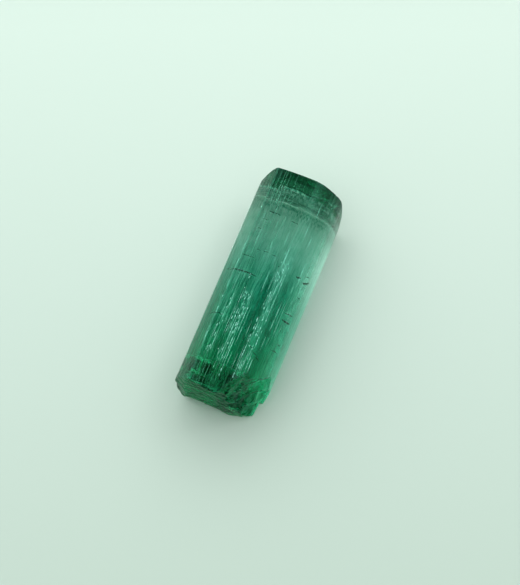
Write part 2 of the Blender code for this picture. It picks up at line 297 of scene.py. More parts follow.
STRIP_ZONES_AND_END_SHADE = (
    (0.00, (0.05, 0.80, 0.45)),
    (0.11, (0.06, 0.82, 0.48)),
    (0.13, (0.38, 1.00, 0.84)),
    (0.35, (0.50, 1.00, 0.92)),
    (0.52, (0.64, 1.00, 0.95)),
    (0.70, (1.00, 1.00, 1.00)),
    (1.00, (0.90, 0.95, 0.93)),
)  # the same, for the strip on the left, with painted shade at the near end
STRIP_FROM = (-2.25 * MM, -2.40 * MM)  # x where it starts and is whole

# Colours across the upper faces, from left to right, darker towards their edges as painted shade
UPPER_FROM = (0.3 * MM, 0.9 * MM)  # z where the upper faces start and are whole
BAND_WANDER = 0.16 * MM
BAND_WANDER_SIZE = (0.25 * MM, 1.2 * MM)
DEEP_FROM = (0.70, 0.50)  # share of the length where the deeper coloured part starts and is whole
DEEP_LEAST = 0.25
BANDS_AND_RIGHT_SHADE = (
    (0.00, (0.10, 0.50, 0.42)),
    (0.10, (0.08, 0.52, 0.44)),
    (0.19, (0.90, 0.86, 0.86)),
    (0.28, (1.00, 1.00, 1.00)),
    (0.355, (0.10, 0.42, 0.36)),
    (0.46, (0.90, 0.86, 0.92)),
    (0.53, (0.30, 0.58, 0.60)),
    (0.575, (0.005, 0.23, 0.20)),
    (0.62, (0.005, 0.20, 0.165)),
    (0.652, (0.38, 0.56, 0.58)),
    (0.69, (0.85, 0.82, 0.90)),
    (0.73, (0.36, 0.58, 0.58)),
    (0.77, (0.01, 0.28, 0.23)),
    (0.81, (0.04, 0.40, 0.34)),
    (0.86, (0.38, 0.65, 0.59)),
    (0.93, (0.60, 0.70, 0.64)),
    (1.00, (0.65, 0.60, 0.56)),
)  # (share of the width from the left, base colour), in the deeper coloured part, darker towards the right edge as painted shade
PAINTED_EDGE_SHADE = (
    (0.00, (0.45, 0.50, 0.48)),
    (0.06, (0.70, 0.76, 0.74)),
    (0.10, (0.92, 0.95, 0.94)),
    (0.17, (1.00, 1.00, 1.00)),
    (0.92, (1.00, 1.00, 1.00)),
    (0.97, (0.68, 0.68, 0.67)),
    (1.00, (0.42, 0.42, 0.41)),
)  # the same, all along, darker towards both edges as painted shade

# Streaks and clouds. Stops are (level of the noise, base colour).
BROAD_STREAKS = ((0.38, (0.76, 0.90, 0.87)), (0.58, (1.0, 1.0, 1.0)))
BROAD_STREAK_SIZE = (0.45 * MM, 14 * MM)
FINE_STREAKS = ((0.40, (0.16, 0.44, 0.39)), (0.55, (1.0, 1.0, 1.0)))
FINE_STREAK_SIZE = (0.09 * MM, 1.3 * MM)
FINE_STREAK_LEAST = 0.35
CLOUDS = ((0.36, (0.46, 0.74, 0.66)), (0.52, (1.0, 1.0, 1.0)))
CLOUD_SIZE = (0.55 * MM, 0.9 * MM)
CLOUD_SHARE = 0.6
FAR_MOTTLE = ((0.42, (0.10, 0.36, 0.28)), (0.54, (1.0, 1.0, 1.0)))
FAR_MOTTLE_SIZE = (0.20 * MM, 0.32 * MM)
FAR_MOTTLE_FROM = (0.858, 0.892)  # share of the length where it starts and is whole

# The finest relief, as heights in units of RELIEF
RELIEF = 0.028 * MM
DASH_SIZE = (0.09 * MM, 0.60 * MM)
PATCH_SIZE = (0.5 * MM, 5 * MM)
PATCH_FROM = (0.42, 0.62)  # level of the noise where a patch of dashes starts and is whole
GLITTER = (
    (0.00, (0.1, 0.1, 0.1)),
    (0.24, (0.3, 0.3, 0.3)),
    (0.36, (0.8, 0.8, 0.8)),
    (0.40, (1.0, 1.0, 1.0)),
    (0.50, (1.0, 1.0, 1.0)),
    (0.54, (0.1, 0.1, 0.1)),
    (0.61, (0.1, 0.1, 0.1)),
    (0.64, (1.0, 1.0, 1.0)),
    (0.73, (1.0, 1.0, 1.0)),
    (0.76, (0.1, 0.1, 0.1)),
    (1.00, (0.2, 0.2, 0.2)),
)  # (share of the width from the left, height of the dashes)
LINE_SIZE = (0.10 * MM, 3.0 * MM)
LINE_HEIGHT = 0.4
RUBBLE_SIZE = (0.16 * MM, 0.16 * MM)
RUBBLE_HEIGHT = 1.5
ARC_PITCH = 0.34 * MM
ARC_SHAKE = 9.0  # radians
ARC_SHAKE_SIZE = (0.5 * MM, 0.5 * MM)
ARC_HEIGHT = 0.8
ARC_FROM_DULLNESS = 0.6

# The sheet
FLOOR_SIZE = 4.0
FLOOR_GAP = 0.02 * MM
FLOOR_LIGHT_SIDE = (-0.37, 0.93, 0.0)
FLOOR_SPAN = (-25 * MM, 25 * MM)  # towards the light, from the first shade to the last
FLOOR_SHADES = ((0.0, (0.56, 0.66, 0.60)), (0.5, (0.64, 0.745, 0.69)), (1.0, (0.73, 0.84, 0.78)))
FLOOR_ROUGHNESS = 0.9
FLOOR_SPECULAR = 0.1

# Light: directions, and stops of (degrees away, level)
DARK_DIRECTION = (-0.125, 0.318, 0.940)
DARK_STOPS = ((0, 0.05), (13, 0.08), (29, 1.00))
BRIGHT_DIRECTION = (-0.42, 0.62, 0.66)
BRIGHT_STOPS = ((0, 2.80), (25, 2.40), (55, 1.36), (85, 0.59), (115, 0.05))
LAMP_DIRECTIONS = ((-0.251, 0.475, 0.845), (0.430, 0.476, 0.767))
LAMP_STOPS = ((0, 5.0), (3.5, 5.0), (5, 0.0))
LIGHT_COLOUR = (0.93, 1.0, 0.955)
MAX_BOUNCES = 32
TRANSMISSION_BOUNCES = 28

# View
CAMERA_AZIMUTH = math.radians(21.9)
CAMERA_ELEVATION = math.radians(70)
CAMERA_DISTANCE = 250 * MM
CAMERA_TARGET = (-0.09 * MM, 0.3 * MM, 2.7 * MM)
CAMERA_LENS = 188.3
CAMERA_CLIP_START = MM


def striated_face(start, end, bulge, count, rng):
    """Points (x, z) from start up to end, not with it: saw-toothed striations on a bulging face."""
    start, end = Vector(start), Vector(end)
    along = end - start
    outward = Vector((along.y, -along.x)).normalized()
    points = [start]
    if count == 0:
        return points
    widths = [rng.uniform(0.6, 1.4) for _ in range(count)]
    share = 0.0
    for width in widths:
        pitch = width / sum(widths)
        ridge = share + pitch * rng.uniform(0.55, 0.8)
        share += pitch
        rise = STRIATION_DEPTH * rng.uniform(0.5, 1.0)
        for at, offset in ((ridge, rise), (share, 0.0)):
            crown = 4 * bulge * at * (1 - at)
            points.append(start + along * at + outward * (crown + offset))
    return points[:-1]


def section_outline():
    """The prism's section as points (x, z) in metres, scaled to measure WIDTH by HEIGHT."""
    rng = random.Random(STRIATION_SEED)
    corners = [(x * WIDTH, z * HEIGHT) for _, (x, z), _, _ in PRISM_FACES]
    points = []
    for index, (_, _, bulge, count) in enumerate(PRISM_FACES):
        following = corners[(index + 1) % len(corners)]
        points += striated_face(corners[index], following, bulge * HEIGHT, count, rng)
    low_x, high_x = min(p.x for p in points), max(p.x for p in points)
    high_z = max(p.y for p in points)
    middle_x = (low_x + high_x) / 2
    return [
        ((p.x - middle_x) * WIDTH / (high_x - low_x), p.y * HEIGHT / high_z) for p in points
    ]


def past(value, limit):
    """How far value lies beyond limit, or 0."""
    return max(value - limit, 0.0)


def ramp(value, start, end):
    """0 at start, 1 at end, eased between them."""
    share = min(max((value - start) / (end - start), 0.0), 1.0)
    return share * share * (3 - 2 * share)


def side_inset(x, z):
    """How far a point of the section lies inside the lines of its right and left sides."""
    insets = []
    for name in ("right_side", "right_slope", "left_strip", "left_flank"):
        index = [face[0] for face in PRISM_FACES].index(name)
        (start_x, start_z), (end_x, end_z) = PRISM_FACES[index][1], PRISM_FACES[index + 1][1]
        start = Vector((start_x * WIDTH, start_z * HEIGHT))
        along = Vector((end_x * WIDTH, end_z * HEIGHT)) - start
        outward = Vector((along.y, -along.x)).normalized()
        insets.append(outward.dot(start - Vector((x, z))))
    return min(insets)


def soft_min(a, b):
    """The lower of a and b, with the crease between them rounded off over FILLET."""
    share = max(FILLET - abs(a - b), 0.0) / FILLET
    return min(a, b) - FILLET * share * share / 4


def hackle(u, v, seed):
    """The roughness of a break, from 0 up, at a place (u, v) on it. Each seed is another break."""
    place = Vector((u / HACKLE_PITCH, v / HACKLE_PITCH, 10.0 * seed))
    fine = Vector((u / FINE_HACKLE_PITCH, v / FINE_HACKLE_PITCH, 10.0 * seed))
    coarse = HACKLE * (0.6 + 0.6 * noise.fractal(place, 1.0, 2.0, 3))
    return coarse + FINE_HACKLE * abs(noise.fractal(fine, 0.8, 2.0, 3))


def rib(distance, pitch):
    """How far back a shelly break lies, as a share of its ribs' depth. It slopes back over most
    of the pitch, and then steps out again."""
    place = distance / pitch % 1.0
    return min(place / RIB_SLOPE, (1 - place) / (1 - RIB_SLOPE))


def near_break(x, z):
    depth = NEAR_LEAN * past(HEIGHT, z) + hackle(x, z, 1) * ramp(z, HEIGHT, 0.8 * HEIGHT)
    share = rib(math.hypot(x - RIB_CENTRE[0], z - RIB_CENTRE[1]), RIB_PITCH)
    depth += RIB_DEPTH * (RIB_FOOT_SHARE + (share - RIB_FOOT_SHARE) * ramp(z, *RIB_FOOT))
    depth += NEAR_LEFT_CHIP * past(-x, -NEAR_LEFT_FROM)
    depth += NEAR_RIGHT_CHIP * past(x, NEAR_RIGHT_FROM) * ramp(z, NEAR_RIGHT_TOP, 0)
    return Vector((x, depth - LENGTH / 2, z))


def far_break(x, z):
    ledge = LEDGE_HEIGHT + LEDGE_WAVE * math.cos((x - LEDGE_CREST_X) / LEDGE_WAVE_SPAN)
    ledge -= LEDGE_STEP * (1 - ramp(x, *LEDGE_STEP_X))
    rubble = ramp(x, *RUBBLE_FROM)
    undercut = FAR_UPPER_UNDERCUT + (RUBBLE_UNDERCUT - FAR_UPPER_UNDERCUT) * rubble
    upper = undercut * min(past(HEIGHT, z), HEIGHT - ledge)
    lower = FAR_LOWER_UNDERCUT * past(ledge, z)
    step = LEDGE_DEPTH * (1 - RUBBLE_LEDGE_LOSS * rubble) if z < ledge else 0.0
    between = ramp(side_inset(x, z), *UNDERCUT_INSET)
    whole = between + (1 - between) * ramp(z, *UNDERCUT_FOOT)
    depth = FAR_LEAN * past(HEIGHT, z) + whole * (upper + lower + step)
    depth += FAR_LEFT_CHIP * past(-x, -FAR_LEFT_FROM) ** 2
    depth += FAR_RIGHT_CHIP * past(x, FAR_RIGHT_FROM) ** 2
    roughness = (1 + RUBBLE_HACKLE * rubble * between) * hackle(x, z, 2)
    depth += roughness * ramp(z, HEIGHT, 0.8 * HEIGHT)
    return Vector((x, LENGTH / 2 - depth, z))


def scar(u, v):
    """A point of the scar, from a place in its own plane: u runs towards the far end, v up."""
    normal = Vector(SCAR_NORMAL).normalized()
    towards_far = normal.cross(Vector((0.0, 0.0, -1.0))).normalized()
    up = normal.cross(towards_far)
    away = math.hypot(u - SCAR_CENTRE[0], v - SCAR_CENTRE[1])
    hollow = SCAR_HOLLOW * math.exp(-((away / SCAR_HOLLOW_SPAN) ** 2))
    rough = hackle(u, v, 3)
    ripple = SCAR_RIPPLE * math.cos(math.tau * (away + SCAR_RIPPLE_WANDER * rough) / SCAR_RIPPLE_PITCH)
    ring = math.hypot(u - SCAR_RIB_CENTRE[0], v - SCAR_RIB_CENTRE[1])
    ring += SCAR_RIB_WANDER * rough
    shell = SCAR_RIB_DEPTH * (rib(ring, SCAR_RIB_PITCH) - SCAR_RIB_PROUD)
    inward = hollow + ripple + shell + rough
    return Vector(SCAR_POINT) + towards_far * u + up * v - normal * inward


def flake(x, y):
    """A point of the flake's roof. Where the roof is below the resting face, nothing was lost."""
    ridge = math.exp(-(((x - FLAKE_RIDGE_X) / FLAKE_RIDGE_WIDTH) ** 2))
    slope = FLAKE_SLOPE - FLAKE_RIDGE * ridge
    inner = slope * (FLAKE_REACH - y) + FLAKE_INNER_HACKLE * hackle(x, y, 4)
    sides = FLAKE_SIDE_SLOPE * min(x - FLAKE_LEFT, FLAKE_RIGHT - x)
    roof = soft_min(soft_min(inner, FLAKE_RISE + hackle(x, y, 5)), sides)
    return Vector((x, y, max(roof, -MM / 2)))


def fine_section():
    """The outline with points COLUMN_PITCH apart. Each has its outward direction, its place along
    the outline, and whether it may carry fine striations, which the resting face doesn't."""
    outline = section_outline()
    columns = []
    place = 0.0
    for index, start in enumerate(outline):
        end = outline[(index + 1) % len(outline)]
        side = Vector((end[0] - start[0], end[1] - start[1]))
        outward = Vector((side.y, -side.x)).normalized()
        resting = max(start[1], end[1]) < RESTING_BELOW
        pitch = RESTING_COLUMN_PITCH if resting else COLUMN_PITCH
        steps = max(1, round(side.length / pitch))
        for step in range(steps):
            point = Vector(start) + side * (step / steps)
            striated = not resting and point.y > STRIATED_ABOVE
            columns.append((point, outward, place + side.length * step / steps, striated))
        place += side.length
    return columns


def prism_mesh():
    """The striated prism, longer than the crystal at both ends, as a loft of equal rings."""
    columns = fine_section()
    half = LENGTH / 2 + OVERRUN
    rings = round(2 * half / RING_PITCH)
    vertices = []
    for ring in range(rings + 1):
        y = -half + 2 * half * ring / rings
        for point, outward, place, striated in columns:
            if striated:
                across, along = place / FINE_STRIATION_PITCH, y / FINE_STRIATION_LENGTH
                level = noise.fractal(Vector((across, along, FINE_STRIATION_SEED)), 0.7, 2.0, 3)
                point = point - outward * max(FINE_STRIATION * (0.5 + 0.5 * level), 0.0)
            vertices.append((point.x, y, point.y))
    count = len(columns)
    faces = []
    for ring in range(rings):
        for column in range(count):
            here = ring * count + column
            beside = ring * count + (column + 1) % count
            faces.append((beside, here, here + count, beside + count))
    faces.append(tuple(range(count)))
    faces.append(tuple(rings * count + column for column in reversed(range(count))))
    mesh = bpy.data.meshes.new("crystal")
    mesh.from_pydata(vertices, [], faces)
    return mesh


def break_mesh(name, surface, span_u, span_v, outward):
    """A closed block whose inner side is the surface, on a fine grid over the two spans."""
    columns = round((span_u[1] - span_u[0]) / CUTTER_CELL)
    rows = round((span_v[1] - span_v[0]) / CUTTER_CELL)
    block = bmesh.new()
    bmesh.ops.create_grid(block, x_segments=columns, y_segments=rows, size=0.5)
    for vertex in block.verts:
        u = span_u[0] + (vertex.co.x + 0.5) * (span_u[1] - span_u[0])
        v = span_v[0] + (vertex.co.y + 0.5) * (span_v[1] - span_v[0])
        vertex.co = surface(u, v)
    grown = bmesh.ops.extrude_face_region(block, geom=block.faces[:])
    for item in grown["geom"]:
        if isinstance(item, bmesh.types.BMVert):
            item.co += Vector(outward).normalized() * CUTTER_DEPTH
    bmesh.ops.recalc_face_normals(block, faces=block.faces)
    mesh = bpy.data.meshes.new(name)
    block.to_mesh(mesh)
    block.free()
    return mesh


def break_meshes():
    """A block for each break, which takes away all that lies outward of it."""
    across = (-CUTTER_WIDTH / 2, CUTTER_WIDTH / 2)
    upright = (-OVERRUN, HEIGHT + OVERRUN)
    flake_length = (-LENGTH / 2 - OVERRUN, FLAKE_REACH + OVERRUN)
    return (
        break_mesh("near_break", near_break, across, upright, (0.0, -1.0, 0.0)),
        break_mesh("far_break", far_break, across, upright, (0.0, 1.0, 0.0)),
        break_mesh("scar", scar, SCAR_CUTTER_LENGTH, SCAR_CUTTER_HEIGHT, SCAR_NORMAL),
        break_mesh("flake", flake, across, flake_length, (0.0, 0.0, -1.0)),
    )


def broken_prism():
    """The prism cut along its four breaks, as one mesh. Its dull attribute is 0 on the faces that
    grew, and above 0 on the breaks."""
    prism = bpy.data.objects.new("prism", prism_mesh())
    bpy.context.scene.collection.objects.link(prism)
    blocks = break_meshes()
    marks = [bpy.data.materials.new(name) for name in ("grown", *(mesh.name for mesh in blocks))]
    for mark in marks:
        prism.data.materials.append(mark)
    cutters = []
    for number, mesh in enumerate(blocks, start=1):
        for mark in marks:
            mesh.materials.append(mark)
        mesh.polygons.foreach_set("material_index", np.full(len(mesh.polygons), number, np.int32))
        cutter = bpy.data.objects.new(mesh.name, mesh)
        bpy.context.scene.collection.objects.link(cutter)
        cutters.append(cutter)
        modifier = prism.modifiers.new(mesh.name, "BOOLEAN")
        modifier.operation = "DIFFERENCE"
        modifier.solver = "MANIFOLD"
        modifier.object = cutter
    bpy.context.view_layer.update()
    evaluated = prism.evaluated_get(bpy.context.evaluated_depsgraph_get())
    result = bpy.data.meshes.new_from_object(evaluated)
    for obj in [prism, *cutters]:
        bpy.data.objects.remove(obj)
    index = np.empty(len(result.polygons), np.int32)
    result.polygons.foreach_get("material_index", index)
    result.polygons.foreach_set("material_index", np.zeros_like(index))
    result.materials.clear()
    dull = result.attributes.new("dull", "FLOAT", "FACE")
    dull.data.foreach_set("value", np.array(DULLNESS, np.float32)[index])
    return result


def vector_math(tree, operation, first, second):
    """Two vectors, by a Vector Math node. The second may be plain numbers."""
    node = tree.nodes.new("ShaderNodeVectorMath")
    node.operation = operation
    tree.links.new(first, node.inputs[0])
    if isinstance(second, bpy.types.NodeSocket):
        tree.links.new(second, node.inputs[1])
    else:
        node.inputs[1].default_value = second
    return node.outputs["Value" if operation in ("DISTANCE", "DOT_PRODUCT") else "Vector"]


def combined(tree, operation, *values):
    """One value out of up to three, by a Math node."""
    node = tree.nodes.new("ShaderNodeMath")
    node.operation = operation
    for socket, value in zip(node.inputs, values):
        if isinstance(value, bpy.types.NodeSocket):
            tree.links.new(value, socket)
        else:
            socket.default_value = value
    return node.outputs[0]


def map_range(tree, value, start, end, low=0.0, high=1.0):
    """A value changed so that start gives low and end gives high, and held at those beyond them."""
    node = tree.nodes.new("ShaderNodeMapRange")
    node.inputs["From Min"].default_value = start
    node.inputs["From Max"].default_value = end
    node.inputs["To Min"].default_value = low
    node.inputs["To Max"].default_value = high
    tree.links.new(value, node.inputs["Value"])
    return node.outputs[0]


def colour_ramp(tree, value, stops, interpolation="LINEAR"):
    """Colours by a value. Stops are (value, colour)."""
    node = tree.nodes.new("ShaderNodeValToRGB")
    node.color_ramp.interpolation = interpolation
    while len(node.color_ramp.elements) < len(stops):
        node.color_ramp.elements.new(0.5)
    for element, (at, colour) in zip(node.color_ramp.elements, stops):
        element.position = at
        element.color = (*colour, 1.0)
    tree.links.new(value, node.inputs[0])
    return node.outputs[0]


def mixed(tree, blend, under, over, share):
    """Two colours blended, as far as the share goes."""
    node = tree.nodes.new("ShaderNodeMix")
    node.data_type = "RGBA"
    node.blend_type = blend
    sockets = {socket.identifier: socket for socket in (*node.inputs, *node.outputs)}
    if isinstance(share, bpy.types.NodeSocket):
        tree.links.new(share, sockets["Factor_Float"])
    else:
        sockets["Factor_Float"].default_value = share
    tree.links.new(under, sockets["A_Color"])
    tree.links.new(over, sockets["B_Color"])
    return sockets["Result_Color"]


def streaks(tree, size, detail):
    """Noise from 0 to 1, in features of a size (across, along) the prism."""
    across, along = size
    place = tree.nodes.new("ShaderNodeTexCoord").outputs["Object"]
    scaled = vector_math(tree, "MULTIPLY", place, (1 / across, 1 / along, 1 / across))
    texture = tree.nodes.new("ShaderNodeTexNoise")
    texture.inputs["Scale"].default_value = 1.0
    texture.inputs["Detail"].default_value = detail
    tree.links.new(scaled, texture.inputs["Vector"])
    return texture.outputs["Fac"]


def crystal_places(tree):
    """Where a point of the crystal is, as values by name. x and z are in metres, along is a share
    of the length and across a wandering share of the width. Upper is 1 on the upper faces, deep
    is 1 in the deeper coloured part, and dull marks the breaks."""
    parts = tree.nodes.new("ShaderNodeSeparateXYZ")
    tree.links.new(tree.nodes.new("ShaderNodeTexCoord").outputs["Object"], parts.inputs[0])
    x, y, z = (parts.outputs[axis] for axis in "XYZ")
    along = map_range(tree, y, -LENGTH / 2, LENGTH / 2)
    wander = combined(tree, "SUBTRACT", streaks(tree, BAND_WANDER_SIZE, 2.0), 0.5)
    wandered = combined(tree, "MULTIPLY_ADD", wander, BAND_WANDER, x)
    dull = tree.nodes.new("ShaderNodeAttribute")
    dull.attribute_name = "dull"
    return {
        "x": x,
        "z": z,
        "along": along,
        "across": map_range(tree, wandered, -WIDTH / 2, WIDTH / 2),
        "upper": map_range(tree, z, *UPPER_FROM),
        "deep": map_range(tree, along, *DEEP_FROM, low=DEEP_LEAST),
        "dull": dull.outputs["Fac"],
    }


def crystal_colour(tree, at):
    """Zones along the prism and the strip on its left, with painted shade at both ends, and over them
    what darkens them: painted shade towards the edges of the upper faces, bands across them with
    painted shade towards the right edge, streaks, clouds, the mottled far end and painted shade on
    the breaks."""
    ragged = combined(tree, "SUBTRACT", streaks(tree, ZONE_WANDER_SIZE, 3.0), 0.5)
    ragged = combined(tree, "MULTIPLY_ADD", ragged, ZONE_WANDER, at["along"])
    # Colours along the prism and its left strip, with painted shade at the ends
    zones_and_end_shade = colour_ramp(tree, ragged, ZONES_AND_END_SHADE)
    strip_zones_and_end_shade = colour_ramp(tree, at["along"], STRIP_ZONES_AND_END_SHADE)
    colour = mixed(tree, "MIX", zones_and_end_shade, strip_zones_and_end_shade, map_range(tree, at["x"], *STRIP_FROM))
    band_and_shade_share = combined(tree, "MULTIPLY", at["deep"], at["upper"])
    fine_share = combined(tree, "MAXIMUM", at["deep"], FINE_STREAK_LEAST)
    fine_share = combined(tree, "MULTIPLY", fine_share, at["upper"])
    broad = streaks(tree, BROAD_STREAK_SIZE, 1.0)
    fine = streaks(tree, FINE_STREAK_SIZE, 2.0)
    clouds = streaks(tree, CLOUD_SIZE, 3.0)
    mottle = streaks(tree, FAR_MOTTLE_SIZE, 3.0)
    for layer, share in (
        # Painted shade towards the edges of the upper faces
        (colour_ramp(tree, at["across"], PAINTED_EDGE_SHADE), at["upper"]),
        # Bands, with painted shade towards the right edge
        (colour_ramp(tree, at["across"], BANDS_AND_RIGHT_SHADE), band_and_shade_share),
        (colour_ramp(tree, broad, BROAD_STREAKS), at["deep"]),
        (colour_ramp(tree, fine, FINE_STREAKS), fine_share),
        (colour_ramp(tree, clouds, CLOUDS), CLOUD_SHARE),
        (colour_ramp(tree, mottle, FAR_MOTTLE), map_range(tree, ragged, *FAR_MOTTLE_FROM)),
        # Painted shade on the breaks
        (colour_ramp(tree, at["dull"], BREAK_PAINTED_SHADE, "CONSTANT"), 1.0),
    ):
        colour = mixed(tree, "MULTIPLY", colour, layer, share)
    return colour


def crystal_roughness(tree, at):
    """Glossy on the grown faces, duller on the breaks and where the crystal rests."""
    broken = map_range(tree, at["dull"], 0.0, 1.0, *ROUGHNESS)
    underside = map_range(tree, at["z"], *UNDERSIDE_FROM, high=UNDERSIDE_ROUGHNESS)
    return combined(tree, "MAXIMUM", broken, underside)


def near_arcs(tree, at):
    """Heights of fine uneven arcs on the near break, round the same point as its ribs."""
    flat = tree.nodes.new("ShaderNodeCombineXYZ")
    tree.links.new(at["x"], flat.inputs["X"])
    tree.links.new(at["z"], flat.inputs["Z"])
    centre = (RIB_CENTRE[0], 0.0, RIB_CENTRE[1])
    distance = vector_math(tree, "DISTANCE", flat.outputs[0], centre)
    turns = combined(tree, "MULTIPLY", distance, math.tau / ARC_PITCH)
    shaken = combined(tree, "MULTIPLY_ADD", streaks(tree, ARC_SHAKE_SIZE, 3.0), ARC_SHAKE, turns)
    share = map_range(tree, at["dull"], ARC_FROM_DULLNESS, 1.0, high=ARC_HEIGHT)
    return combined(tree, "MULTIPLY", combined(tree, "SINE", shaken), share)


def crystal_relief(tree, at):
    """The finest relief, as a normal: patches of glittering dashes and long lines along the prism,
    rubble on the breaks, and arcs on the near one."""
    dashes = streaks(tree, DASH_SIZE, 1.0)
    patches = map_range(tree, streaks(tree, PATCH_SIZE, 2.0), *PATCH_FROM)
    for share in (patches, colour_ramp(tree, at["across"], GLITTER), at["deep"]):
        dashes = combined(tree, "MULTIPLY", dashes, share)
    lines = combined(tree, "MULTIPLY", streaks(tree, LINE_SIZE, 1.0), LINE_HEIGHT)
    rubble = combined(tree, "MULTIPLY", streaks(tree, RUBBLE_SIZE, 3.0), at["dull"])
    rubble = combined(tree, "MULTIPLY", rubble, RUBBLE_HEIGHT)
    height = dashes
    for more in (lines, rubble, near_arcs(tree, at)):
        height = combined(tree, "ADD", height, more)
    bump = tree.nodes.new("ShaderNodeBump")
    bump.inputs["Distance"].default_value = RELIEF
    bump.inputs["Strength"].default_value = 1.0
    tree.links.new(height, bump.inputs["Height"])
    return bump.outputs[0]


def absorb(tree):
    """Fills the crystal with a plain absorption of ABSORPTION_PER_M."""
    density = max(ABSORPTION_PER_M) / MOST_ABSORBED
    absorption = tree.nodes.new("ShaderNodeVolumeAbsorption")
    colour = [1 - sigma / density for sigma in ABSORPTION_PER_M]
    absorption.inputs["Color"].default_value = (*colour, 1.0)
    absorption.inputs["Density"].default_value = density
    tree.links.new(absorption.outputs[0], tree.nodes["Material Output"].inputs["Volume"])


def tourmaline_material():
    """Clear green glass, blue-green and pale in turn along the prism, with painted shade at both ends,
    and finely streaked.
    """
    material = bpy.data.materials.new("tourmaline")
    material.use_nodes = True
    tree = material.node_tree
    shader = tree.nodes["Principled BSDF"]
    shader.inputs["Metallic"].default_value = 0.0
    shader.inputs["IOR"].default_value = IOR
    shader.inputs["Transmission Weight"].default_value = 1.0
    shader.inputs["Specular Tint"].default_value = (*REFLECTION_TINT, 1.0)
    absorb(tree)
    at = crystal_places(tree)
    tree.links.new(crystal_colour(tree, at), shader.inputs["Base Color"])
    tree.links.new(crystal_roughness(tree, at), shader.inputs["Roughness"])
    tree.links.new(crystal_relief(tree, at), shader.inputs["Normal"])
    return material


def make_crystal():
    mesh = broken_prism()
    mesh.name = "crystal"
    crystal = bpy.data.objects.new("crystal", mesh)
    bpy.context.scene.collection.objects.link(crystal)
    mesh.shade_smooth()
    mesh.set_sharp_from_angle(angle=SHARP_ANGLE)
    mesh.materials.append(tourmaline_material())
    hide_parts(NODE)
    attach(crystal, "root")


def surface_height(outline, x):
    """The height of the prism's upper surface over x."""
    heights = [0.0]
    for (right, right_z), (left, left_z) in zip(outline, outline[1:]):
        if left <= x < right:
            heights.append(left_z + (right_z - left_z) * (x - left) / (right - left))
    return max(heights)


def lofted(mesh, stations):
    """Adds a closed skin from a first point through diamonds of four points to a last point."""
    first = mesh.verts.new(stations[0][0])
    rings = [[mesh.verts.new(point) for point in ring] for ring in stations[1:-1]]
    last = mesh.verts.new(stations[-1][0])
    for corner in range(4):
        beside = (corner + 1) % 4
        mesh.faces.new((first, rings[0][corner], rings[0][beside]))
        for ring, following in zip(rings, rings[1:]):
            mesh.faces.new((ring[corner], following[corner], following[beside], ring[beside]))
        mesh.faces.new((rings[-1][corner], last, rings[-1][beside]))


def glint_thread_mesh():
    """Painted glints: fine pale streaks along the prism, lying in its upper surface as flat closed
    slivers.
    """
    rng = random.Random(THREAD_SEED)
    outline = section_outline()
    mesh = bmesh.new()
    for centre_x, half_width, columns, near, far, *counts in THREAD_GROUPS:
        for column in range(columns):
            column_x = centre_x + half_width * ((2 * column + 1) / columns - 1)
            for (lengths, widths), count in zip((SHORT_THREADS, LONG_THREADS), counts):
                for _ in range(count):
                    x = column_x * MM + rng.gauss(0.0, THREAD_STRAY)
                    y = rng.uniform(near, far) * MM
                    half, wide = rng.uniform(*lengths), rng.uniform(*widths)
                    if abs(x) > THREAD_REACH[0] or abs(y) + half > THREAD_REACH[1]:
                        continue
                    middle = surface_height(outline, x)
                    ring = [
                        (x + wide, y, surface_height(outline, x + wide)),
                        (x, y, middle + THREAD_RISE),
                        (x - wide, y, surface_height(outline, x - wide)),
                        (x, y, middle - THREAD_RISE),
                    ]
                    lofted(mesh, [[(x, y - half, middle)], ring, [(x, y + half, middle)]])
    return mesh


def fracture_mesh():
    """Dark cracks across the prism, just under its upper faces, as thin uneven closed slivers."""
    rng = random.Random(FRACTURE_SEED)
    outline = section_outline()
    mesh = bmesh.new()
    for left, right, y, depth, thick, bow, skew in FRACTURES:
        steps = max(FRACTURE_LEAST_STEPS, round((right - left) / FRACTURE_STEP))
        stations = []
        for step in range(steps + 1):
            share = step / steps
            lens = 1 - (2 * share - 1) ** 2
            body = math.sqrt(lens) * rng.uniform(*FRACTURE_BODY)
            shake = rng.uniform(-FRACTURE_SHAKE, FRACTURE_SHAKE)
            x = (left + (right - left) * share) * MM
            here = (y + (bow * lens + skew * (share - 0.5)) + shake) * MM
            top = surface_height(outline, x) - FRACTURE_INSET
            half, reach = body * thick * MM / 2, body * depth * MM
            ring = [
                (x, here, top),
                (x, here - half, top - reach / 2),
                (x, here, top - reach),
                (x, here + half, top - reach / 2),
            ]
            stations.append(ring if 0 < step < steps else ring[:1])
        lofted(mesh, stations)
    return mesh


